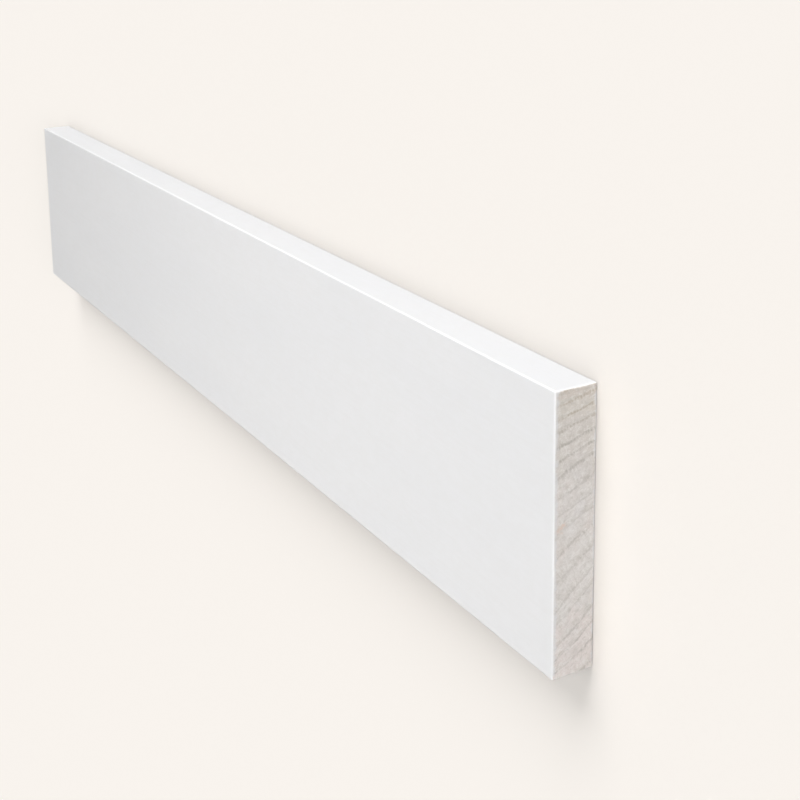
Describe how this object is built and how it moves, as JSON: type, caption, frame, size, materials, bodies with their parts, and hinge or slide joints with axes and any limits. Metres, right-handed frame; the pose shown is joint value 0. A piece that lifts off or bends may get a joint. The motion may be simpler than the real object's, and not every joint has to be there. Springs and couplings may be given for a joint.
{
  "type": "baseboard",
  "caption": "Straight flat baseboard of solid softwood, rectangular in section with eased edges, painted white, with square-sawn ends that show pale growth rings.",
  "frame": {"origin": "middle of the back face, which is the face that goes against the wall and the one the board lies on", "axes": "+X along the board, +Y across its width towards the top edge, +Z out of the show face, away from the wall"},
  "size_m": [0.65, 0.114, 0.019],
  "materials": {
    "painted_softwood": "satin white paint on the faces, edges and arrises, with a thin white wash over the sawn end grain"
  },
  "bodies": {
    "root": {"baseboard": "painted_softwood"}
  },
  "joints": []
}
